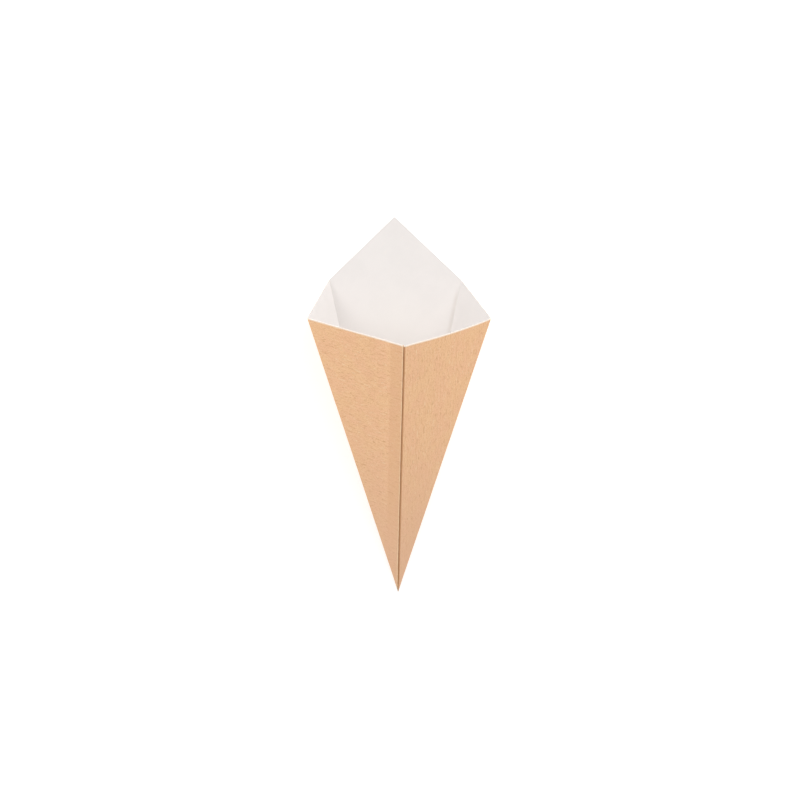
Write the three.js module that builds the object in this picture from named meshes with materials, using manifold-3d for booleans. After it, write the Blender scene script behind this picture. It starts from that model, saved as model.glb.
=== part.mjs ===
// A cone of folded kraft board for french fries, made from one square blank with its corner at the tip.
// It lies on its back panel: the tip points to -Y, the mouth opens towards +Y, and +Z is up.
// Lengths are in millimetres and angles in degrees.
import * as THREE from "three";
import { ConvexGeometry } from "three/addons/geometries/ConvexGeometry.js";
import { mergeVertices } from "three/addons/utils/BufferGeometryUtils.js";
import Module from "manifold-3d";

const wasm = await Module();
wasm.setup();

// The board
const boardThickness = 0.45;
const foldRadius = 0.45;

// The blank: each panel's angle at the tip. The two halves together fill a square corner.
const backPanelAngle = 23.7;
const gussetAngle = 10.65;
const frontPanelAngle = 22.5;
const seamLength = 165;
const backLength = 229.3;

// The folded shape
const mouthOpening = 0.76; // how far the seam rises, as a share of the most that the panels allow
const seamLean = 0.5; // the seam's turn towards +X
const panelBow = 2; // how far the right front panel bulges at the mouth
const bowStrips = 6; // flat strips that make up the bulging panel
const pressedTip = 3; // length of the tip that is pressed solid and sharp

// The glued lap: a flap on the right front panel is folded in under the left one
const flapWidth = 9.5;
const flapTaper = 2.5; // angle between the left side fold and the flap near the tip
const flapEndSlant = 20; // how far the flap's mouth end is cut back from square
const lapSetback = 0.7; // from the seam's fold back to the left panel's cut edge

const sin = (degrees) => Math.sin(THREE.MathUtils.degToRad(degrees));
const cos = (degrees) => Math.cos(THREE.MathUtils.degToRad(degrees));
const tan = (degrees) => Math.tan(THREE.MathUtils.degToRad(degrees));
const arcCos = (ratio) => THREE.MathUtils.radToDeg(Math.acos(ratio));
const vector = (x, y, z) => new THREE.Vector3(x, y, z);

const tip = vector(0, 0, 0);
const pastMouthReach = 1.2 * Math.max(backLength, seamLength);
const seamAngle = backPanelAngle / 2 + gussetAngle + frontPanelAngle;

// Distance from the tip to the blank's far edge, at an angle from the middle of the back.
// The far edge runs straight from the back panel's corner to the seam.
function edgeDistance(angle) {
  const backShare = backLength * sin(angle);
  const seamShare = seamLength * sin(seamAngle - angle);
  return (backLength * seamLength * sin(seamAngle)) / (backShare + seamShare);
}

// A line from the tip to the mouth: its direction in the folded cone and its mouth end.
function ray(direction, blankAngle) {
  return { direction, end: direction.clone().multiplyScalar(edgeDistance(blankAngle)) };
}

// The unit vector at angleA from a and at angleB from b, on the side of a x b that is asked for.
function directionBetween(a, angleA, b, angleB, side) {
  const overlap = a.dot(b);
  const spread = 1 - overlap ** 2;
  const shareA = (cos(angleA) - overlap * cos(angleB)) / spread;
  const shareB = (cos(angleB) - overlap * cos(angleA)) / spread;
  const level = a.clone().multiplyScalar(shareA).addScaledVector(b, shareB);
  const across = a.clone().cross(b).normalize();
  return level.addScaledVector(across, side * Math.sqrt(1 - level.lengthSq()));
}

// The seam rises most when a gusset and its front panel lie in one plane.
function seamDirection() {
  const highest = arcCos(cos(gussetAngle + frontPanelAngle) / cos(backPanelAngle / 2));
  const rise = mouthOpening * highest;
  return vector(sin(seamLean) * cos(rise), cos(seamLean) * cos(rise), sin(rise));
}

// The fold between a gusset and its front panel.
function sideFold(backFold, side) {
  const direction = directionBetween(backFold.direction, gussetAngle, seam.direction, frontPanelAngle, side);
  return ray(direction, backPanelAngle / 2 + gussetAngle);
}

const seam = ray(seamDirection(), seamAngle);
const backCorner = vector(0, backLength, 0);
const leftBackFold = ray(vector(-sin(backPanelAngle / 2), cos(backPanelAngle / 2), 0), backPanelAngle / 2);
const rightBackFold = ray(vector(sin(backPanelAngle / 2), cos(backPanelAngle / 2), 0), backPanelAngle / 2);
const leftSideFold = sideFold(leftBackFold, -1);
const rightSideFold = sideFold(rightBackFold, 1);
const insidePoint = leftSideFold.end.clone().add(rightSideFold.end).add(seam.end).divideScalar(4);

// A plane's unit normal, pointing out of the cone.
function outwardNormal(a, b, c) {
  const normal = b.clone().sub(a).cross(c.clone().sub(a)).normalize();
  return normal.dot(insidePoint.clone().sub(a)) > 0 ? normal.negate() : normal;
}

// The right front panel's rays, from the seam to the side fold, on an arc that bulges outwards.
function bowedRays() {
  const outwards = outwardNormal(tip, seam.end, rightSideFold.end);
  const bowAtUnitDistance = panelBow / edgeDistance(seamAngle - frontPanelAngle / 2);
  const rays = [];
  for (let strip = 0; strip <= bowStrips; strip += 1) {
    const share = strip / bowStrips;
    const direction = seam.direction.clone().multiplyScalar(sin(frontPanelAngle * (1 - share)));
    direction.addScaledVector(rightSideFold.direction, sin(frontPanelAngle * share)).normalize();
    direction.addScaledVector(outwards, 4 * share * (1 - share) * bowAtUnitDistance).normalize();
    rays.push(ray(direction, seamAngle - frontPanelAngle * share));
  }
  return rays;
}

// A closed three.js geometry as a solid that can be joined and cut.
function solid(geometry) {
  geometry.deleteAttribute("normal");
  geometry.deleteAttribute("uv");
  const merged = mergeVertices(geometry);
  const vertProperties = merged.getAttribute("position").array;
  const triVerts = new Uint32Array(merged.getIndex().array);
  return new wasm.Manifold(new wasm.Mesh({ numProp: 3, vertProperties, triVerts }));
}

// Board under a flat convex outline, between two depths below the outer face.
function layer(outline, normal, fromDepth, toDepth) {
  const top = outline.map((corner) => corner.clone().addScaledVector(normal, -fromDepth));
  const bottom = outline.map((corner) => corner.clone().addScaledVector(normal, -toDepth));
  return solid(new ConvexGeometry([...top, ...bottom]));
}

// One flat strip of board between two rays. It runs past the mouth, and a little past both rays and its outer
// face, where the outer form then trims it.
function strip(a, b) {
  const endA = a.direction.clone().multiplyScalar(pastMouthReach);
  const endB = b.direction.clone().multiplyScalar(pastMouthReach);
  const across = endB.clone().sub(endA).setLength(boardThickness);
  const behindTip = endA.clone().add(endB).setLength(boardThickness).negate();
  const normal = outwardNormal(tip, endA, endB);
  return layer([behindTip, endA.sub(across), endB.add(across)], normal, -boardThickness, boardThickness);
}

// Everything past one straight stretch of the mouth's edge, cut square to the board.
function pastEdge(from, to) {
  const normal = outwardNormal(tip, from, to);
  const along = to.clone().sub(from).normalize();
  if (normal.clone().cross(along).dot(from) < 0) along.negate();
  const beyond = normal.clone().cross(along);
  const centre = from.clone().addScaledVector(beyond, pastMouthReach / 2);
  const height = 4 * (panelBow + boardThickness);
  const block = new THREE.BoxGeometry(2 * pastMouthReach, pastMouthReach, height);
  block.applyMatrix4(new THREE.Matrix4().makeBasis(along, beyond, normal).setPosition(centre));
  return solid(block);
}

// A panel made of the strips between its rays, cut off at its edge points.
function panel(rays, edgePoints) {
  const strips = rays.slice(1).map((next, index) => strip(rays[index], next));
  const waste = edgePoints.slice(1).map((next, index) => pastEdge(edgePoints[index], next));
  return joined(strips).subtract(joined(waste));
}

// The space inside the outer faces of all panels, drawn out past the mouth.
function outerForm(rays) {
  const farPoints = rays.map(({ direction }) => direction.clone().multiplyScalar(2 * pastMouthReach));
  return solid(new ConvexGeometry([tip, ...farPoints]));
}

// The tip, where the folded board is pressed together and leaves no hollow.
function tipBlock() {
  return solid(new THREE.BoxGeometry(2 * pressedTip, 2 * pressedTip, 2 * pressedTip));
}

// A place on the left front panel, measured along the seam and across from it.
function onLeftPanel(along, across) {
  const sideways = leftSideFold.direction.clone();
  sideways.addScaledVector(seam.direction, -sideways.dot(seam.direction)).normalize();
  return seam.direction.clone().multiplyScalar(along).addScaledVector(sideways, across);
}

// The glue flap, under the left front panel and pressed into it, so that the two are one board thick each.
function glueFlap(normal) {
  const flapAngle = frontPanelAngle - flapTaper;
  const outline = [
    onLeftPanel(-boardThickness, -2 * boardThickness),
    onLeftPanel(seamLength, -2 * boardThickness),
    onLeftPanel(seamLength, 0),
    onLeftPanel(seamLength - flapWidth * tan(flapEndSlant), flapWidth),
    onLeftPanel(flapWidth / tan(flapAngle), flapWidth),
    onLeftPanel(0, 0),
  ];
  return layer(outline, normal, boardThickness / 2, 2 * boardThickness);
}

// The step at the lap, where the left panel's cut edge stops short of the seam's fold.
function lapStep(normal) {
  const outline = [
    onLeftPanel(-pastMouthReach, -lapSetback),
    onLeftPanel(pastMouthReach, -lapSetback),
    onLeftPanel(pastMouthReach, lapSetback),
    onLeftPanel(-pastMouthReach, lapSetback),
  ];
  return layer(outline, normal, -boardThickness, boardThickness);
}

// What the round of a fold takes off the sharp corner between two outer planes, as one flat that touches
// the round. Each plane is a unit normal and its depth below the cone's outer face.
function foldWaste(planeA, planeB, direction) {
  const overlap = planeA.normal.dot(planeB.normal);
  const insetA = planeA.depth + foldRadius;
  const insetB = planeB.depth + foldRadius;
  const centre = planeA.normal.clone().multiplyScalar((overlap * insetB - insetA) / (1 - overlap ** 2));
  centre.addScaledVector(planeB.normal, (overlap * insetA - insetB) / (1 - overlap ** 2));
  const outwards = planeA.normal.clone().add(planeB.normal).normalize();
  centre.addScaledVector(outwards, 2 * foldRadius);
  centre.addScaledVector(direction, pressedTip + pastMouthReach / 2);
  const sideways = direction.clone().cross(outwards);
  const block = new THREE.BoxGeometry(4 * foldRadius, pastMouthReach, 2 * foldRadius);
  block.applyMatrix4(new THREE.Matrix4().makeBasis(sideways, direction, outwards).setPosition(centre));
  return solid(block);
}

function joined(solids) {
  return solids.reduce((whole, next) => whole.add(next));
}

function board() {
  const bow = bowedRays();
  const outer = outerForm([leftBackFold, rightBackFold, leftSideFold, ...bow]);
  const planes = {
    back: { normal: outwardNormal(tip, leftBackFold.end, rightBackFold.end), depth: 0 },
    leftGusset: { normal: outwardNormal(tip, leftBackFold.end, leftSideFold.end), depth: 0 },
    rightGusset: { normal: outwardNormal(tip, rightBackFold.end, rightSideFold.end), depth: 0 },
    leftFront: { normal: outwardNormal(tip, leftSideFold.end, seam.end), depth: 0 },
    rightFrontAtSeam: { normal: outwardNormal(tip, bow[0].end, bow[1].end), depth: 0 },
    rightFrontAtSide: { normal: outwardNormal(tip, bow.at(-2).end, bow.at(-1).end), depth: 0 },
  };
  const flapFace = { normal: planes.leftFront.normal, depth: boardThickness };
  const step = lapStep(planes.leftFront.normal);

  const seamWaste = foldWaste(planes.rightFrontAtSeam, flapFace, seam.direction);
  const rightFrontAndFlap = joined([
    panel(bow, [seam.end, rightSideFold.end]),
    glueFlap(planes.leftFront.normal),
  ]).intersect(outer).subtract(step).subtract(seamWaste);

  const leftFront = panel([leftSideFold, seam], [leftSideFold.end, seam.end]).intersect(outer).subtract(step);
  const backAndGussets = joined([
    panel([leftBackFold, rightBackFold], [leftBackFold.end, backCorner, rightBackFold.end]),
    panel([leftSideFold, leftBackFold], [leftSideFold.end, leftBackFold.end]),
    panel([rightBackFold, rightSideFold], [rightBackFold.end, rightSideFold.end]),
    tipBlock(),
  ]).intersect(outer);

  const foldsWaste = joined([
    foldWaste(planes.back, planes.leftGusset, leftBackFold.direction),
    foldWaste(planes.back, planes.rightGusset, rightBackFold.direction),
    foldWaste(planes.leftGusset, planes.leftFront, leftSideFold.direction),
    foldWaste(planes.rightGusset, planes.rightFrontAtSide, rightSideFold.direction),
  ]);
  return joined([backAndGussets, rightFrontAndFlap, leftFront]).subtract(foldsWaste);
}

// A solid as a three.js geometry, with the middle of its underside at the origin.
function placedGeometry(shape) {
  const { vertProperties, triVerts } = shape.getMesh();
  const indexed = new THREE.BufferGeometry();
  indexed.setAttribute("position", new THREE.BufferAttribute(vertProperties, 3));
  indexed.setIndex(new THREE.BufferAttribute(triVerts, 1));
  const geometry = indexed.toNonIndexed();
  geometry.computeBoundingBox();
  const middle = geometry.boundingBox.getCenter(vector(0, 0, 0));
  geometry.translate(-middle.x, -middle.y, -geometry.boundingBox.min.z);
  geometry.computeVertexNormals();
  return geometry;
}

function friesCone() {
  const kraft = new THREE.MeshStandardMaterial({ color: "#d9a978", roughness: 0.9, metalness: 0 });
  const mesh = new THREE.Mesh(placedGeometry(board()), kraft);
  mesh.name = "fries_cone";
  return mesh;
}

const cone = new THREE.Group();
cone.add(friesCone());
export default cone;
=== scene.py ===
import math

import bmesh
import bpy
import numpy as np
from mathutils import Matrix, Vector, noise


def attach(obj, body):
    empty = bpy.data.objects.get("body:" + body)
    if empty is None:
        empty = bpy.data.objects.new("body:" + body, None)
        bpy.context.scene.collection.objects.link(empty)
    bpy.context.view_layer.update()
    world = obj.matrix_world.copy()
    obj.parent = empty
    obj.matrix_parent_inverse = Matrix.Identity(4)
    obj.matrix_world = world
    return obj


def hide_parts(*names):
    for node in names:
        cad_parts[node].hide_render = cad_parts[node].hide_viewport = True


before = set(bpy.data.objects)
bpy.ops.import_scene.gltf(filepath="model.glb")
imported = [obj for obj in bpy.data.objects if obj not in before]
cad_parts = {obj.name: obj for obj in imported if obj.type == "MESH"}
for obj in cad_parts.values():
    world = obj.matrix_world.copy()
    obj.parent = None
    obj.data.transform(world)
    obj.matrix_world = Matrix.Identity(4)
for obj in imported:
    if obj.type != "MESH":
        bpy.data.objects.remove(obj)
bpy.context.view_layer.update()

# A french fries cone of folded kraft board, white inside, that lies on its back panel.
# Lengths are in millimetres and angles in degrees until a piece is placed.
MM = 0.001
TIP_PLACE = np.array([-0.926, -114.65, 0.0])  # where the CAD model has the cone's tip

# The blank and the folded shape, as in the CAD model
BOARD = 0.45
BACK_ANGLE = 23.7
GUSSET_ANGLE = 10.65
FRONT_ANGLE = 22.5
SEAM_LENGTH = 165.0
BACK_LENGTH = 229.3
MOUTH_OPENING = 0.76
SEAM_LEAN = 0.5
PANEL_BOW = 2.0
FLAP_WIDTH = 9.5
FLAP_TAPER = 2.5
FLAP_END_SLANT = 20.0
SEAM_ANGLE = BACK_ANGLE / 2 + GUSSET_ANGLE + FRONT_ANGLE

# What the mesh adds to it
FOLD_OUTER_RADIUS = 0.6
LAP_SETBACK = 0.65  # from the seam to the left panel's cut edge
LAP_GAP = 0.04  # air between the left panel and the flap under it
RAMP = 0.75  # how far from the seam's fold the flap has gone down under the left panel
FOLD_BULGE = 0.45  # how far the seam's fold springs out of the panels' planes
BULGE_REACH = 3.0  # how far that reaches into the right front panel
PRESSED_LENGTH = 9.0  # nearer the tip than this, the board is pressed thinner
FLAP_SHARE = 0.88  # of the room under the left panel, what the flap takes near the tip
FLAP_DIP = 0.22  # how far the left panel sinks past the flap's edge
BEAD = 0.1  # ridge on the inside of the back folds
BEAD_WIDTH = 0.5  # how far from the fold that ridge fades
CURL = 1.0  # lift of the back panel's raised corner
CURL_START = 176.0  # how far from the tip that lift begins
WAVE = 0.1  # slow unevenness of the panels
WAVE_LENGTH = 38.0  # size of those waves
PEAK_SHIFT = 0.5  # the blank's raised corner is cut a little off its middle
PEAK_TRIM = 0.6  # and this much short
LEFT_RIM_LIFT = 1.0025  # the left side fold is this much longer than on a true blank
LEFT_BACK_LIFT = 1.003  # and so is the left back fold
SIDE_FOLD_SLOPE = 2.4  # a side fold runs about this far along a seam edge for each mm away from it
SHARP_ANGLE = 38.0  # faces that turn more than this meet in a sharp edge
INNER_LAYER = 40.0  # keeps the inner face's pattern apart from the outer face's
BUMP_HEIGHT = 0.1


def sin(angle):
    return math.sin(math.radians(angle))


def cos(angle):
    return math.cos(math.radians(angle))


def unit(vector):
    return vector / np.linalg.norm(vector)


def smooth(low, high, value):
    """0 below low, 1 above high and an S-curve between them."""
    share = np.clip((value - low) / (high - low), 0.0, 1.0)
    return share * share * (3 - 2 * share)


def add_object(name, data):
    """A new object in the scene."""
    item = bpy.data.objects.new(name, data)
    bpy.context.scene.collection.objects.link(item)
    return item


def edge_distance(angle):
    """From the tip to the blank's far edge, at an angle from the middle of the back."""
    shares = BACK_LENGTH * sin(abs(angle)) + SEAM_LENGTH * sin(SEAM_ANGLE - abs(angle))
    return BACK_LENGTH * SEAM_LENGTH * sin(SEAM_ANGLE) / shares


def direction_between(a, angle_a, b, angle_b, side):
    """The unit vector at angle_a from a and angle_b from b, on the side of a x b that is asked for."""
    overlap = a @ b
    spread = 1 - overlap**2
    level = a * (cos(angle_a) - overlap * cos(angle_b)) / spread
    level = level + b * (cos(angle_b) - overlap * cos(angle_a)) / spread
    return level + side * math.sqrt(1 - level @ level) * unit(np.cross(a, b))


def corners():
    """The rim's corners in the folded cone and on the flat blank."""
    highest = math.degrees(math.acos(cos(GUSSET_ANGLE + FRONT_ANGLE) / cos(BACK_ANGLE / 2)))
    rise = MOUTH_OPENING * highest
    seam = np.array([sin(SEAM_LEAN) * cos(rise), cos(SEAM_LEAN) * cos(rise), sin(rise)])
    folded, flat = {}, {}
    folded["seam"] = seam * SEAM_LENGTH
    for name, side in (("left", -1), ("right", 1)):
        back = np.array([side * sin(BACK_ANGLE / 2), cos(BACK_ANGLE / 2), 0])
        fold = direction_between(back, GUSSET_ANGLE, seam, FRONT_ANGLE, side)
        side_angle = BACK_ANGLE / 2 + GUSSET_ANGLE
        folded[name + "_back"] = back * edge_distance(BACK_ANGLE / 2)
        folded[name + "_side"] = fold * edge_distance(side_angle)
        flat[name + "_back"] = on_blank(side * BACK_ANGLE / 2)
        flat[name + "_side"] = on_blank(side * side_angle)
        flat[name + "_seam"] = on_blank(side * SEAM_ANGLE)
    folded["peak"] = np.array([-PEAK_SHIFT, BACK_LENGTH - PEAK_TRIM, 0])
    folded["left_side"] *= LEFT_RIM_LIFT
    folded["left_back"] *= LEFT_BACK_LIFT
    flat["peak"] = on_blank(0)
    return folded, flat


def on_blank(angle):
    """A point of the blank's far edge.

    The right seam edge lies along the first axis and the left one along the second, so a place's
    first number is its distance from the left seam edge, and its second from the right one.
    """
    distance = edge_distance(angle)
    return np.array([distance * cos(SEAM_ANGLE - angle), distance * sin(SEAM_ANGLE - angle)])


CORNER, BLANK = corners()
SEAM_RISE = math.atan2(CORNER["seam"][2], CORNER["seam"][1])
SEAM_OUTWARDS = np.array([0.0, -math.sin(SEAM_RISE), math.cos(SEAM_RISE)])
INSIDE = (CORNER["left_side"] + CORNER["right_side"] + CORNER["seam"]) / 4


def outward(a, b):
    """A panel's unit normal, pointing out of the cone."""
    normal = unit(np.cross(a, b))
    return -normal if normal @ INSIDE > 0 else normal


def row_shares():
    """How far each row of the mesh is from the tip to the rim, as a share."""
    near_tip = [0.0, 0.006, 0.012, 0.02, 0.03, 0.042, 0.055]
    middle = list(np.linspace(0.07, 0.96, 88))
    near_rim = [0.97, 0.978, 0.985, 0.99, 0.994, 0.9965, 0.998, 0.999, 1.0]
    return np.array(near_tip + middle + near_rim)


ROWS = row_shares()
ALONG_SEAM = ROWS * SEAM_LENGTH
THICKNESS = BOARD * np.minimum(1, ALONG_SEAM / PRESSED_LENGTH)
NEAR_FOLD = (0.0, 0.2, 0.4, 0.6, 0.8, 1.0, 1.3, 1.9, 3.0)  # columns beside a fold, in tangent lengths


class Fold:
    """The rounding of one fold, between the panels before and after it."""

    def __init__(self, line, before, after):
        self.line = unit(line)
        self.before = before
        self.after = after
        self.bisector = unit(before + after)
        self.half_turn = math.acos(float(np.clip(self.bisector @ before, -1, 1)))
        self.radius = FOLD_OUTER_RADIUS * np.minimum(1, ALONG_SEAM / PRESSED_LENGTH)
        self.tangent = self.radius * math.tan(self.half_turn)

    def shift(self, distance, sideways, normal):
        """How rounding moves points at a distance from the fold, and their new normals."""
        tangent = np.maximum(self.tangent, 1e-9)[:, None]
        turn = np.clip(distance / tangent, 0, 1) * self.half_turn
        level = unit(sideways - self.bisector * (sideways @ self.bisector))
        turned = np.cos(turn)[..., None] * self.bisector + np.sin(turn)[..., None] * level
        centre = -self.bisector * (self.radius / math.cos(self.half_turn))[:, None, None]
        rounded = centre + turned * self.radius[:, None, None]
        straight = distance[..., None] * sideways
        near = (distance < tangent)[..., None]
        return np.where(near, rounded - straight, 0), np.where(near, turned, normal)


def column_places(width, first, last, count):
    """Places across a panel for each row: dense beside a fold and even between."""
    # near the tip, where a panel is narrow, the dense columns draw together
    room = np.minimum(1, width / (9 * FOLD_OUTER_RADIUS + 4))[:, None]
    pieces = []
    start = np.zeros((len(width), 1))
    end = width[:, None].copy()
    if first is not None:
        steps = np.array(NEAR_FOLD) * first.tangent[:, None] * room
        pieces.append(steps)
        start = steps[:, -1:]
    if last is not None:
        steps = np.array(NEAR_FOLD)[::-1] * last.tangent[:, None] * room
        tail = end - steps
        end = tail[:, :1]
    middle = start + (end - start) * np.linspace(0, 1, count)[None, :]
    if first is not None:
        middle = middle[:, 1:]
    if last is not None:
        middle = middle[:, :-1]
    pieces.append(middle)
    if last is not None:
        pieces.append(tail)
    return np.concatenate(pieces, axis=1)


def panel_columns(start, end, flat_start, flat_end, normal, first, last, count, bow=0.0):
    """Outer face points, normals and blank places of one panel, row by row.

    start and end are the panel's two border lines, one point for each row.
    """
    across = end - start
    width = np.linalg.norm(across, axis=1)
    places = column_places(width, first, last, count)
    share = places / np.maximum(width, 1e-9)[:, None]
    points = start[:, None, :] + share[..., None] * across[:, None, :]
    flat = flat_start[:, None, :] + share[..., None] * (flat_end - flat_start)[:, None, :]
    normals = np.broadcast_to(normal, points.shape).copy()
    if bow:
        lift = bow * 4 * share * (1 - share) * ROWS[:, None]
        points = points + lift[..., None] * normal
        slope = bow * 4 * (1 - 2 * share) / np.linalg.norm(end[-1] - start[-1])
        side = unit(np.cross(normal, unit((start[-1] + end[-1]) / 2)))
        side = side if side @ (end[-1] - start[-1]) > 0 else -side
        normals = normals - slope[..., None] * side
        normals /= np.linalg.norm(normals, axis=2, keepdims=True)
    for fold, base in ((first, start), (last, end)):
        if fold is None:
            continue
        inwards = (start + end)[-1] / 2 - base[-1]
        sideways = unit(np.cross(fold.after if fold is first else fold.before, fold.line))
        sideways = sideways if sideways @ inwards > 0 else -sideways
        distance = np.maximum((points - base[:, None, :]) @ sideways, 0)
        move, normals = fold.shift(distance, sideways, normals)
        points = points + move
    return points, normals, flat


def flap_widths():
    """The flap's width in each row. Near the tip it is only a share of the left panel's."""
    room = ALONG_SEAM * math.tan(math.radians(FRONT_ANGLE - FLAP_TAPER)) * smooth(-2, 10, ALONG_SEAM)
    return FLAP_WIDTH * (1 - np.exp(-room / FLAP_WIDTH * FLAP_SHARE))


def flap_columns(fold_line, width, into_left, fold):
    """The glue flap's outer face, from its free edge to the seam's fold."""
    near = np.array([0, 0.1, 0.2, 0.3, 0.4, 0.5, 0.6, 0.75, 0.9, 1.2, 1.6])
    steps = near * np.minimum(1, width / 4)[:, None]
    rest = steps[:, -1:] + (width[:, None] - steps[:, -1:]) * np.linspace(0, 1, 9)[1:]
    places = np.concatenate([steps, rest], axis=1)[:, ::-1]
    # the end at the mouth is cut at a slant
    cut = places * math.tan(math.radians(FLAP_END_SLANT)) * smooth(0.9, 1, ROWS)[:, None]
    points = fold_line[:, None, :] + places[..., None] * into_left - cut[..., None] * fold.line
    normals = np.broadcast_to(fold.before, points.shape)
    move, normals = fold.shift(places, into_left, normals)
    flat = np.stack([np.broadcast_to(ALONG_SEAM[:, None], places.shape) - cut, -places], axis=2)
    return points + move, normals, flat


def rows_of(point):
    return ROWS[:, None] * point[None, :]


def panel_normals():
    """Each panel's unit normal, from the two lines that border it."""
    borders = {
        "back": ("left_back", "right_back"),
        "left_gusset": ("left_back", "left_side"),
        "right_gusset": ("right_back", "right_side"),
        "left_front": ("left_side", "seam"),
        "right_front": ("right_side", "seam"),
    }
    return {name: outward(CORNER[a], CORNER[b]) for name, (a, b) in borders.items()}


def sheet_columns():
    """All columns of the sheet, from the flap's free edge round to the left panel's cut edge."""
    seam = CORNER["seam"]
    seam_line = unit(seam)
    normal = panel_normals()
    # The right front panel bows, so that its planes at the seam and at the side differ a little.
    chord = CORNER["right_side"] - seam
    tilt = 4 * PANEL_BOW / np.linalg.norm(chord)
    across = unit(chord - seam_line * (chord @ seam_line))
    at_seam = unit(normal["right_front"] - tilt * across)
    at_side = unit(normal["right_front"] + tilt * across)
    into_left = unit(CORNER["left_side"] - seam_line * (CORNER["left_side"] @ seam_line))
    into_right = unit(np.cross(at_seam, seam_line))
    into_right = into_right if into_right @ across > 0 else -into_right

    # The flap's face lies one board below the left panel's, so its fold stands to the right of the seam.
    depth = THICKNESS + LAP_GAP * np.minimum(1, ALONG_SEAM / PRESSED_LENGTH)
    turn = math.acos(float(at_seam @ normal["left_front"]))
    fold_line = rows_of(seam) + into_right * (depth / math.sin(turn))[:, None]
    fold = {
        "seam": Fold(seam_line, normal["left_front"], at_seam),
        "right_side": Fold(CORNER["right_side"], at_side, normal["right_gusset"]),
        "right_back": Fold(CORNER["right_back"], normal["right_gusset"], normal["back"]),
        "left_back": Fold(CORNER["left_back"], normal["back"], normal["left_gusset"]),
        "left_side": Fold(CORNER["left_side"], normal["left_gusset"], normal["left_front"]),
    }

    setback = np.minimum(LAP_SETBACK, 0.25 * ALONG_SEAM)
    cut_edge = rows_of(seam) + into_left * setback[:, None]
    flat_cut = np.outer(ROWS, BLANK["left_seam"]) + np.stack([setback, 0 * setback], axis=1)

    flat = {name: np.outer(ROWS, place) for name, place in BLANK.items()}
    line = {name: rows_of(place) for name, place in CORNER.items()}
    parts = [
        flap_columns(fold_line, flap_widths(), into_left, fold["seam"]),
        panel_columns(fold_line, line["right_side"], flat["right_seam"], flat["right_side"],
                      normal["right_front"], fold["seam"], fold["right_side"], 30, bow=PANEL_BOW),
    ]
    for start, end, panel, count in (
        ("right_side", "right_back", "right_gusset", 14),
        ("right_back", "peak", "back", 18),
        ("peak", "left_back", "back", 18),
        ("left_back", "left_side", "left_gusset", 14),
    ):
        parts.append(panel_columns(line[start], line[end], flat[start], flat[end], normal[panel],
                                   fold.get(start), fold.get(end), count))
    parts.append(panel_columns(line["left_side"], cut_edge, flat["left_side"], flat_cut,
                               normal["left_front"], fold["left_side"], None, 34))
    # Neighbours share a column, so every part after the flap leaves out its first one.
    parts[1:] = [[values[:, 1:] for values in part] for part in parts[1:]]
    points, normals, blank = (np.concatenate(kind, axis=1) for kind in zip(*parts))
    return points, normals, blank


def relax(points, normals, blank):
    """The small unevenness of real board, added to the folded shape."""
    from_left_edge = blank[..., 0]
    from_right_edge = blank[..., 1]
    on_left_front = smooth(0, 0.6, from_right_edge - SIDE_FOLD_SLOPE * from_left_edge)
    on_right_front = smooth(0, 0.6, from_left_edge - SIDE_FOLD_SLOPE * from_right_edge)
    # the left panel sinks a little past the edge of the flap that lies under it
    sink = smooth(FLAP_WIDTH - 0.5, FLAP_WIDTH + 3, from_left_edge)
    sink = sink * (1 - smooth(FLAP_WIDTH + 5, 34, from_left_edge))
    depth = FLAP_DIP * sink * on_left_front * smooth(25, 70, from_right_edge)
    points = points - depth[..., None] * normals
    # the seam's fold springs out a little
    on_flap = np.clip(1 + from_right_edge / RAMP, 0, 1)
    on_panel = np.exp(-(from_right_edge / BULGE_REACH) ** 2)
    beside = np.where(from_right_edge < 0, on_flap, on_panel)
    spring = FOLD_BULGE * beside * on_right_front * np.minimum(1, ALONG_SEAM / 30)[:, None]
    points = points + spring[..., None] * SEAM_OUTWARDS
    # the back panel's raised corner curls up a little
    past = np.maximum(points[..., 1] - CURL_START, 0) / (BACK_LENGTH - CURL_START)
    points[..., 2] += CURL * past**2 * smooth(0, 1, past)
    # slow waves, the same on both faces
    waves = np.zeros(points.shape[:2])
    for row, column in np.ndindex(waves.shape):
        place = Vector(points[row, column]) / WAVE_LENGTH
        waves[row, column] = noise.noise(place) + 0.4 * noise.noise(place * 2.7)
    amount = WAVE * waves * smooth(20, 80, ALONG_SEAM)[:, None]
    return points + amount[..., None] * normals


def edge_marks(blank):
    """For each place: how far it is from the mouth's edge and from a back fold, and a spare 0."""
    rim = np.broadcast_to(((1 - ROWS) * SEAM_LENGTH)[:, None], blank.shape[:2])
    away = []
    for name in ("right_back", "left_back"):
        line = unit(BLANK[name])
        away.append(np.abs(blank[..., 0] * line[1] - blank[..., 1] * line[0]))
    return np.stack([rim, np.minimum(away[0], away[1]), 0 * rim], axis=2)


def sheet_faces(rows, columns):
    """The faces as vertex numbers, and each face's material: 0 outside, 1 inside, 2 cut edge.

    Vertex 0 is the outer face's tip and 1 the inner face's. Then come the outer face's other rows, and
    last the inner face's.
    """
    faces, slots = [], []

    def number(face, row, column):
        if row == 0:
            return face
        return 2 + face * (rows - 1) * columns + (row - 1) * columns + column

    def add(corner_numbers, slot):
        kept = [c for i, c in enumerate(corner_numbers) if c not in corner_numbers[:i]]
        faces.append(kept)
        slots.append(slot)

    top = rows - 1
    last = columns - 1
    for row in range(top):
        for column in range(last):
            square = [(row, column), (row, column + 1), (row + 1, column + 1), (row + 1, column)]
            add([number(0, r, c) for r, c in square], 0)
            add([number(1, r, c) for r, c in reversed(square)], 1)
        add([number(0, row, 0), number(0, row + 1, 0), number(1, row + 1, 0), number(1, row, 0)], 2)
        add([number(0, row + 1, last), number(0, row, last),
             number(1, row, last), number(1, row + 1, last)], 2)
    for column in range(last):
        add([number(0, top, column), number(0, top, column + 1),
             number(1, top, column + 1), number(1, top, column)], 2)
    return faces, slots


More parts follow.
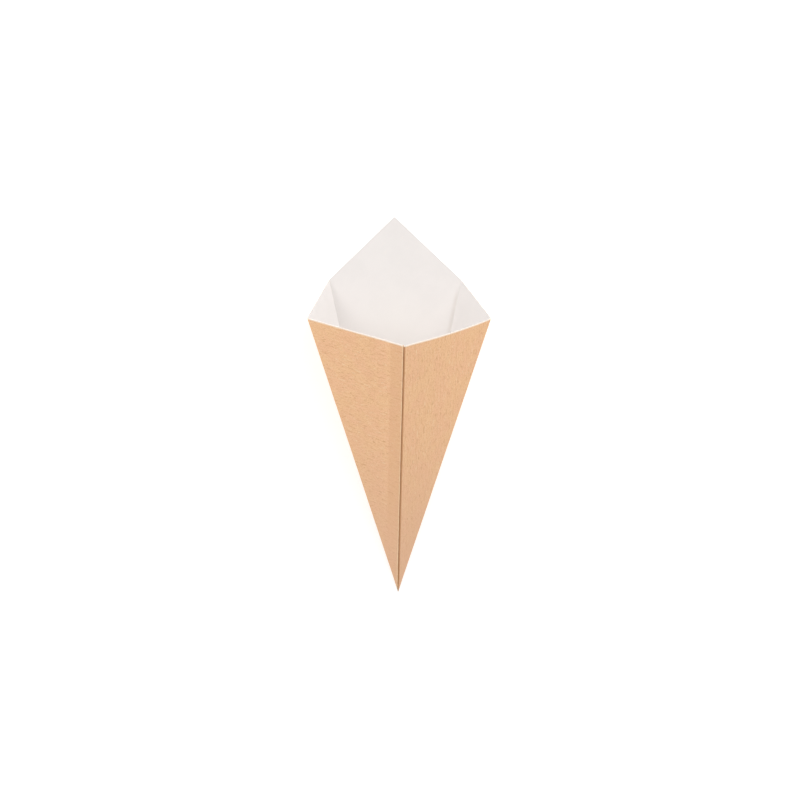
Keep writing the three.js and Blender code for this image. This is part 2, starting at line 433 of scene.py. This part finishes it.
def in_order(outer_tip, inner_tip, outer, inner):
    """Vectors in the vertices' order: the two tips, the outer face's rows and the inner face's."""
    return np.concatenate([[outer_tip, inner_tip], outer[1:].reshape(-1, 3), inner[1:].reshape(-1, 3)])


def carry(mesh, name, vectors):
    """Give the mesh's points vectors that the materials read by name."""
    attribute = mesh.attributes.new(name, "FLOAT_VECTOR", "POINT")
    attribute.data.foreach_set("vector", vectors.astype(np.float32).ravel())


def build_board():
    """The folded sheet as one closed mesh: kraft outside, lining inside and cut edges between."""
    outer, normals, blank = sheet_columns()
    outer = relax(outer, normals, blank)
    marks = edge_marks(blank)
    bead = BEAD * np.exp(-(marks[..., 1] / BEAD_WIDTH) ** 2) * smooth(15, 40, ALONG_SEAM)[:, None]
    inner = outer - (THICKNESS[:, None] + bead)[..., None] * normals
    # each face ends in one point, and the outer one is nearer the tip
    outer_tip = outer[1].mean(axis=0) * 0.2
    inner_tip = inner[1].mean(axis=0) * 0.6
    vertices = (in_order(outer_tip, inner_tip, outer, inner) + TIP_PLACE) * MM
    faces, slots = sheet_faces(*outer.shape[:2])

    mesh = bpy.data.meshes.new("board")
    mesh.from_pydata([tuple(v) for v in vertices], [], faces)
    mesh.polygons.foreach_set("material_index", slots)
    places = np.dstack([blank, np.zeros(blank.shape[:2])])
    tip = places[1].mean(axis=0)
    carry(mesh, "blank", in_order(tip, tip, places, places + (0, 0, INNER_LAYER)))
    tip = (SEAM_LENGTH, 0, 0)
    carry(mesh, "marks", in_order(tip, tip, marks, marks))
    turned = bmesh.new()
    turned.from_mesh(mesh)
    bmesh.ops.recalc_face_normals(turned, faces=turned.faces)
    turned.to_mesh(mesh)
    turned.free()
    mesh.polygons.foreach_set("use_smooth", [True] * len(mesh.polygons))
    mesh.set_sharp_from_angle(angle=math.radians(SHARP_ANGLE))
    mesh.validate()
    mesh.update()
    return add_object("folded_board", mesh)


def linear(red, green, blue):
    """An sRGB colour from 0 to 255 as Blender's linear RGBA."""
    values = [c / 255 for c in (red, green, blue)]
    return tuple(v / 12.92 if v <= 0.04045 else ((v + 0.055) / 1.055) ** 2.4 for v in values) + (1.0,)


class Nodes:
    """Short names for making a material's nodes."""

    def __init__(self, name):
        self.material = bpy.data.materials.new(name)
        self.material.use_nodes = True
        self.tree = self.material.node_tree
        self.tree.nodes.clear()
        self.out = self.tree.nodes.new("ShaderNodeOutputMaterial")
        self.shader = self.tree.nodes.new("ShaderNodeBsdfPrincipled")
        self.tree.links.new(self.shader.outputs[0], self.out.inputs["Surface"])

    def link(self, source, target):
        self.tree.links.new(source, target)

    def make(self, kind, **settings):
        node = self.tree.nodes.new(kind)
        for key, value in settings.items():
            setattr(node, key, value)
        return node

    def feed(self, socket, value):
        if isinstance(value, bpy.types.NodeSocket):
            self.link(value, socket)
        else:
            socket.default_value = value

    def place(self):
        return self.make("ShaderNodeAttribute", attribute_name="blank").outputs["Vector"]

    def parts(self, name):
        """The three numbers of a vector that the mesh carries."""
        split = self.make("ShaderNodeSeparateXYZ")
        self.link(self.make("ShaderNodeAttribute", attribute_name=name).outputs["Vector"], split.inputs[0])
        return split.outputs

    def math(self, operation, a, b):
        node = self.make("ShaderNodeMath", operation=operation)
        self.feed(node.inputs[0], a)
        self.feed(node.inputs[1], b)
        return node.outputs[0]

    def times(self, a, b):
        return self.math("MULTIPLY", a, b)

    def stretched(self, vector, turn, along, across):
        """Blank places turned by an angle and scaled along and across, in features per millimetre."""
        node = self.make("ShaderNodeMapping")
        self.link(vector, node.inputs["Vector"])
        node.inputs["Rotation"].default_value = (0, 0, math.radians(turn))
        node.inputs["Scale"].default_value = (along, across, 1)
        return node.outputs[0]

    def noise(self, vector, scale, detail=2.0, rough=0.5, distortion=0.0):
        node = self.make("ShaderNodeTexNoise")
        self.link(vector, node.inputs["Vector"])
        node.inputs["Scale"].default_value = scale
        node.inputs["Detail"].default_value = detail
        node.inputs["Roughness"].default_value = rough
        node.inputs["Distortion"].default_value = distortion
        return node.outputs[0]

    def ramp(self, value, low, high, to_low=0.0, to_high=1.0):
        node = self.make("ShaderNodeMapRange", interpolation_type="SMOOTHSTEP")
        self.feed(node.inputs["Value"], value)
        node.inputs["From Min"].default_value = low
        node.inputs["From Max"].default_value = high
        node.inputs["To Min"].default_value = to_low
        node.inputs["To Max"].default_value = to_high
        return node.outputs[0]

    def mix(self, share, a, b):
        node = self.make("ShaderNodeMix", data_type="RGBA")
        self.feed(node.inputs["Factor"], share)
        self.feed(node.inputs[6], a)
        self.feed(node.inputs[7], b)
        return node.outputs[2]

    def cover(self, colour, share, tone):
        """The colour with a share of an sRGB tone over it."""
        return self.mix(share, colour, linear(*tone))

    def length(self, vector):
        node = self.make("ShaderNodeVectorMath", operation="LENGTH")
        self.link(vector, node.inputs[0])
        return node.outputs["Value"]

    def beyond(self, vector, angle):
        """How far a blank place is past the line at an angle from the blank's first axis."""
        node = self.make("ShaderNodeVectorMath", operation="DOT_PRODUCT")
        self.link(vector, node.inputs[0])
        node.inputs[1].default_value = (-sin(angle), cos(angle), 0)
        return node.outputs["Value"]

    def surface(self, colour, rough, height, strength):
        """The finished material, with its colour, roughness and small bumps."""
        self.link(colour, self.shader.inputs["Base Color"])
        self.link(rough, self.shader.inputs["Roughness"])
        node = self.make("ShaderNodeBump")
        self.link(height, node.inputs["Height"])
        node.inputs["Strength"].default_value = strength
        node.inputs["Distance"].default_value = BUMP_HEIGHT * MM
        self.link(node.outputs[0], self.shader.inputs["Normal"])
        return self.material


def fibres(nodes, place, turn, size, low, high):
    """Thin short fibres in one direction, as a mask from 0 to 1."""
    lines = nodes.noise(nodes.stretched(place, turn, 0.13 / size, 0.62 / size), 1.0, 2.0, 0.6, 0.9)
    return nodes.ramp(lines, low, high)


def kraft_paper(nodes, place):
    """The colour of plain kraft, and the grain that runs along the blank's first axis."""
    mottle = nodes.ramp(nodes.noise(place, 0.09, 3), 0.38, 0.62)
    colour = nodes.mix(mottle, linear(251, 201, 160), linear(251, 205, 159))
    grain = nodes.noise(nodes.stretched(place, 0, 0.12, 1.1), 1.0, 3, 0.6)
    colour = nodes.cover(colour, nodes.ramp(grain, 0.38, 0.68, 0, 0.35), (236, 184, 138))
    # dark and pale fibres, each by its turn from the grain, size, share and tone
    for turn, size, share, tone in (
        (3, 0.55, 0.75, (212, 156, 110)),
        (-18, 0.45, 0.65, (214, 158, 112)),
        (12, 0.5, 0.75, (255, 224, 186)),
        (-7, 0.65, 0.6, (255, 220, 180)),
        (66, 0.45, 0.6, (218, 163, 116)),
    ):
        mask = fibres(nodes, place, turn, size, 0.6, 0.72)
        colour = nodes.cover(colour, nodes.times(mask, share), tone)
    grit = nodes.ramp(nodes.noise(place, 1.1, 2, 0.6), 0.5, 0.62, 0, 0.65)
    return nodes.cover(colour, grit, (236, 184, 140)), grain


def kraft_wear_and_shade(nodes, place, colour):
    """The kraft's colour where folding and handling have changed it, darker towards the tip and with
    painted shade in the seam's gap.
    """
    rim, _, _ = nodes.parts("marks")
    from_left_edge, from_right_edge, _ = nodes.parts("blank")
    # the kraft is a little darker and greyer towards the tip
    colour = nodes.cover(colour, nodes.ramp(nodes.length(place), 10, 130, 0.5, 0), (232, 187, 157))
    # the seam's pressed fold line is dark in the gap beside the left panel: partly crushed fibres and
    # partly painted shade in the gap
    crushed_gap_and_shade = nodes.times(nodes.ramp(from_right_edge, -0.05, 0.3, 1, 0),
                      nodes.ramp(from_right_edge, -2.2, -1.6))
    colour = nodes.cover(colour, nodes.times(crushed_gap_and_shade, 0.9), (198, 146, 104))
    # a band beside the seam, over the flap under the left panel, is a little darker
    band = nodes.times(nodes.ramp(from_left_edge, 8.3, 9.8, 1, 0), nodes.ramp(from_right_edge, 25, 70))
    colour = nodes.cover(colour, nodes.times(band, 0.4), (233, 182, 140))
    # the left panel's cut edge is scuffed pale in places
    scuff = nodes.times(nodes.ramp(from_left_edge, 0.9, 1.4, 0.85, 0),
                        nodes.ramp(from_left_edge, 0.3, 0.6))
    worn = nodes.ramp(nodes.noise(place, 0.3, 3, 0.6), 0.35, 0.6, 0.35, 1)
    colour = nodes.cover(colour, nodes.times(scuff, worn), (255, 228, 186))
    # the mouth's edge is frayed pale
    fray = nodes.times(nodes.noise(place, 1.4, 3, 0.7), 0.5)
    reach = nodes.ramp(nodes.math("SUBTRACT", rim, fray), 0.2, 0.6, 1, 0)
    return nodes.cover(colour, nodes.times(reach, 0.85), (255, 240, 222))


def kraft_material():
    """Unbleached kraft with fine fibres, mostly along the sheet's grain."""
    nodes = Nodes("kraft_outside")
    place = nodes.place()
    colour, grain = kraft_paper(nodes, place)
    colour = kraft_wear_and_shade(nodes, place, colour)
    rough = nodes.ramp(grain, 0.3, 0.7, 0.78, 0.92)
    nodes.shader.inputs["Specular IOR Level"].default_value = 0.25
    fine = nodes.noise(nodes.stretched(place, 0, 1.2, 3.0), 1.0, 4, 0.7)
    return nodes.surface(colour, rough, fine, 0.25)


def lining_material():
    """The smooth white inside, a little warm, with a faint mottle."""
    nodes = Nodes("white_lining")
    place = nodes.place()
    rim, crease, _ = nodes.parts("marks")
    mottle = nodes.noise(place, 0.09, 4, 0.6)
    colour = nodes.mix(nodes.ramp(mottle, 0.35, 0.65), linear(230, 225, 222), linear(232, 227, 224))
    speck = fibres(nodes, place, 15, 0.6, 0.62, 0.74)
    colour = nodes.cover(colour, nodes.times(speck, 0.35), (238, 230, 224))
    # painted light: the lining is painted whiter away from the mouth's edge, deep in the cone where it is
    # more shaded
    colour = nodes.cover(colour, nodes.ramp(rim, 15, 55), (235, 230, 226))
    # the pressed lines of the back folds, partly compressed fibres and partly painted shade in the
    # creases; the left one shows more
    past_right_fold = nodes.beyond(place, SEAM_ANGLE - BACK_ANGLE / 2)
    pressed_line_and_shade = nodes.times(nodes.ramp(crease, 0.15, 0.6, 1, 0),
                          nodes.ramp(past_right_fold, 5, 10, 0.12, 0.8))
    colour = nodes.cover(colour, pressed_line_and_shade, (204, 196, 190))
    # a soft shade beside the right one, which fades towards the mouth's edge
    shade = nodes.times(nodes.ramp(past_right_fold, 0, 0.5),
                        nodes.ramp(past_right_fold, 1.0, 3.2, 1, 0))
    shade = nodes.times(shade, nodes.ramp(rim, 4, 11))
    colour = nodes.cover(colour, nodes.times(shade, 0.5), (218, 210, 203))
    # painted shade: a grey line along the mouth's edge
    colour = nodes.cover(colour, nodes.ramp(rim, 0.1, 0.5, 0.5, 0), (214, 210, 205))
    rough = nodes.ramp(mottle, 0.3, 0.7, 0.42, 0.58)
    nodes.shader.inputs["Specular IOR Level"].default_value = 0.35
    return nodes.surface(colour, rough, nodes.noise(place, 1.6, 4, 0.65), 0.12)


def edge_material():
    """The board's cut edge, pale and fibrous."""
    nodes = Nodes("cut_edge")
    from_left_edge, _, _ = nodes.parts("blank")
    layers = nodes.noise(nodes.place(), 2.2, 3, 0.7)
    colour = nodes.mix(nodes.ramp(layers, 0.35, 0.7), linear(248, 241, 234), linear(238, 226, 213))
    # beside the seam the cut edge is a darker kraft brown, partly the board's brown core and partly
    # painted shade of the seam's gap
    colour = nodes.cover(colour, nodes.ramp(from_left_edge, 1.0, 1.6, 1, 0), (222, 172, 130))
    return nodes.surface(colour, nodes.ramp(layers, 0.3, 0.7, 0.85, 0.95), layers, 0.4)


def white_where_seen(tree, base, extra):
    """A strength of base, and of base + extra for the rays that show a backdrop."""
    path = tree.nodes.new("ShaderNodeLightPath")
    seen = path.outputs["Is Camera Ray"]
    for kind in ("Is Glossy Ray", "Is Transmission Ray"):
        either = tree.nodes.new("ShaderNodeMath")
        either.operation = "MAXIMUM"
        tree.links.new(seen, either.inputs[0])
        tree.links.new(path.outputs[kind], either.inputs[1])
        seen = either.outputs[0]
    strength = tree.nodes.new("ShaderNodeMath")
    strength.operation = "MULTIPLY_ADD"
    tree.links.new(seen, strength.inputs[0])
    strength.inputs[1].default_value = extra
    strength.inputs[2].default_value = base
    return strength.outputs[0]


def add_floor():
    """A pale floor that the camera sees as white where no shadow falls."""
    mesh = bpy.data.meshes.new("floor")
    reach = 3.0
    mesh.from_pydata([(-reach, -reach, 0), (reach, -reach, 0), (reach, reach, 0), (-reach, reach, 0)],
                     [], [(0, 1, 2, 3)])
    floor = add_object("floor", mesh)
    floor.location.z = -0.0002
    material = bpy.data.materials.new("pale_floor")
    material.use_nodes = True
    tree = material.node_tree
    tree.nodes.clear()
    out = tree.nodes.new("ShaderNodeOutputMaterial")
    diffuse = tree.nodes.new("ShaderNodeBsdfDiffuse")
    diffuse.inputs["Color"].default_value = (0.82, 0.82, 0.82, 1)
    glow = tree.nodes.new("ShaderNodeEmission")
    tree.links.new(white_where_seen(tree, 0, 0.42), glow.inputs["Strength"])
    join = tree.nodes.new("ShaderNodeAddShader")
    tree.links.new(diffuse.outputs[0], join.inputs[0])
    tree.links.new(glow.outputs[0], join.inputs[1])
    tree.links.new(join.outputs[0], out.inputs["Surface"])
    mesh.materials.append(material)


def add_lamp(name, place, size, power):
    """A round white softbox that faces the middle of the cone, placed in metres."""
    light = bpy.data.lights.new(name, "AREA")
    light.shape = "DISK"
    light.size = size
    light.energy = power
    lamp = add_object(name, light)
    lamp.location = place
    towards = Vector((0, 0.02, 0)) - Vector(place)
    lamp.rotation_euler = towards.to_track_quat("-Z", "Y").to_euler()


def add_light():
    """A white surround, two softboxes that look into the mouth and one over the left side."""
    world = bpy.data.worlds.new("studio")
    world.use_nodes = True
    background = world.node_tree.nodes["Background"]
    background.inputs["Color"].default_value = (1, 1, 1, 1)
    tree = world.node_tree
    tree.links.new(white_where_seen(tree, 0.58, 0.42), background.inputs["Strength"])
    bpy.context.scene.world = world
    add_lamp("softbox_mouth_right", (0.75, 1.05, 0.7), 0.8, 12.8)
    add_lamp("softbox_mouth_left", (-0.9, 0.95, 0.45), 0.7, 4.3)
    add_lamp("softbox_left", (-1.1, 0.3, 1.1), 0.8, 4.9)


def add_camera():
    """A camera above the cone, that looks nearly straight down on it."""
    data = bpy.data.cameras.new("camera")
    data.sensor_width = 36.0
    data.lens = 44.008
    data.clip_start = 0.02
    camera = add_object("camera", data)
    camera.location = Vector((-28.84, 35.83, 593.26)) * MM
    camera.rotation_euler = [math.radians(a) for a in (-3.0715, -2.9216, -0.4579)]
    bpy.context.scene.camera = camera


add_camera()
add_light()
add_floor()
board = build_board()
for surface in (kraft_material(), lining_material(), edge_material()):
    board.data.materials.append(surface)
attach(board, "root")
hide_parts("fries_cone")

bpy.context.scene.view_settings.view_transform = "Standard"
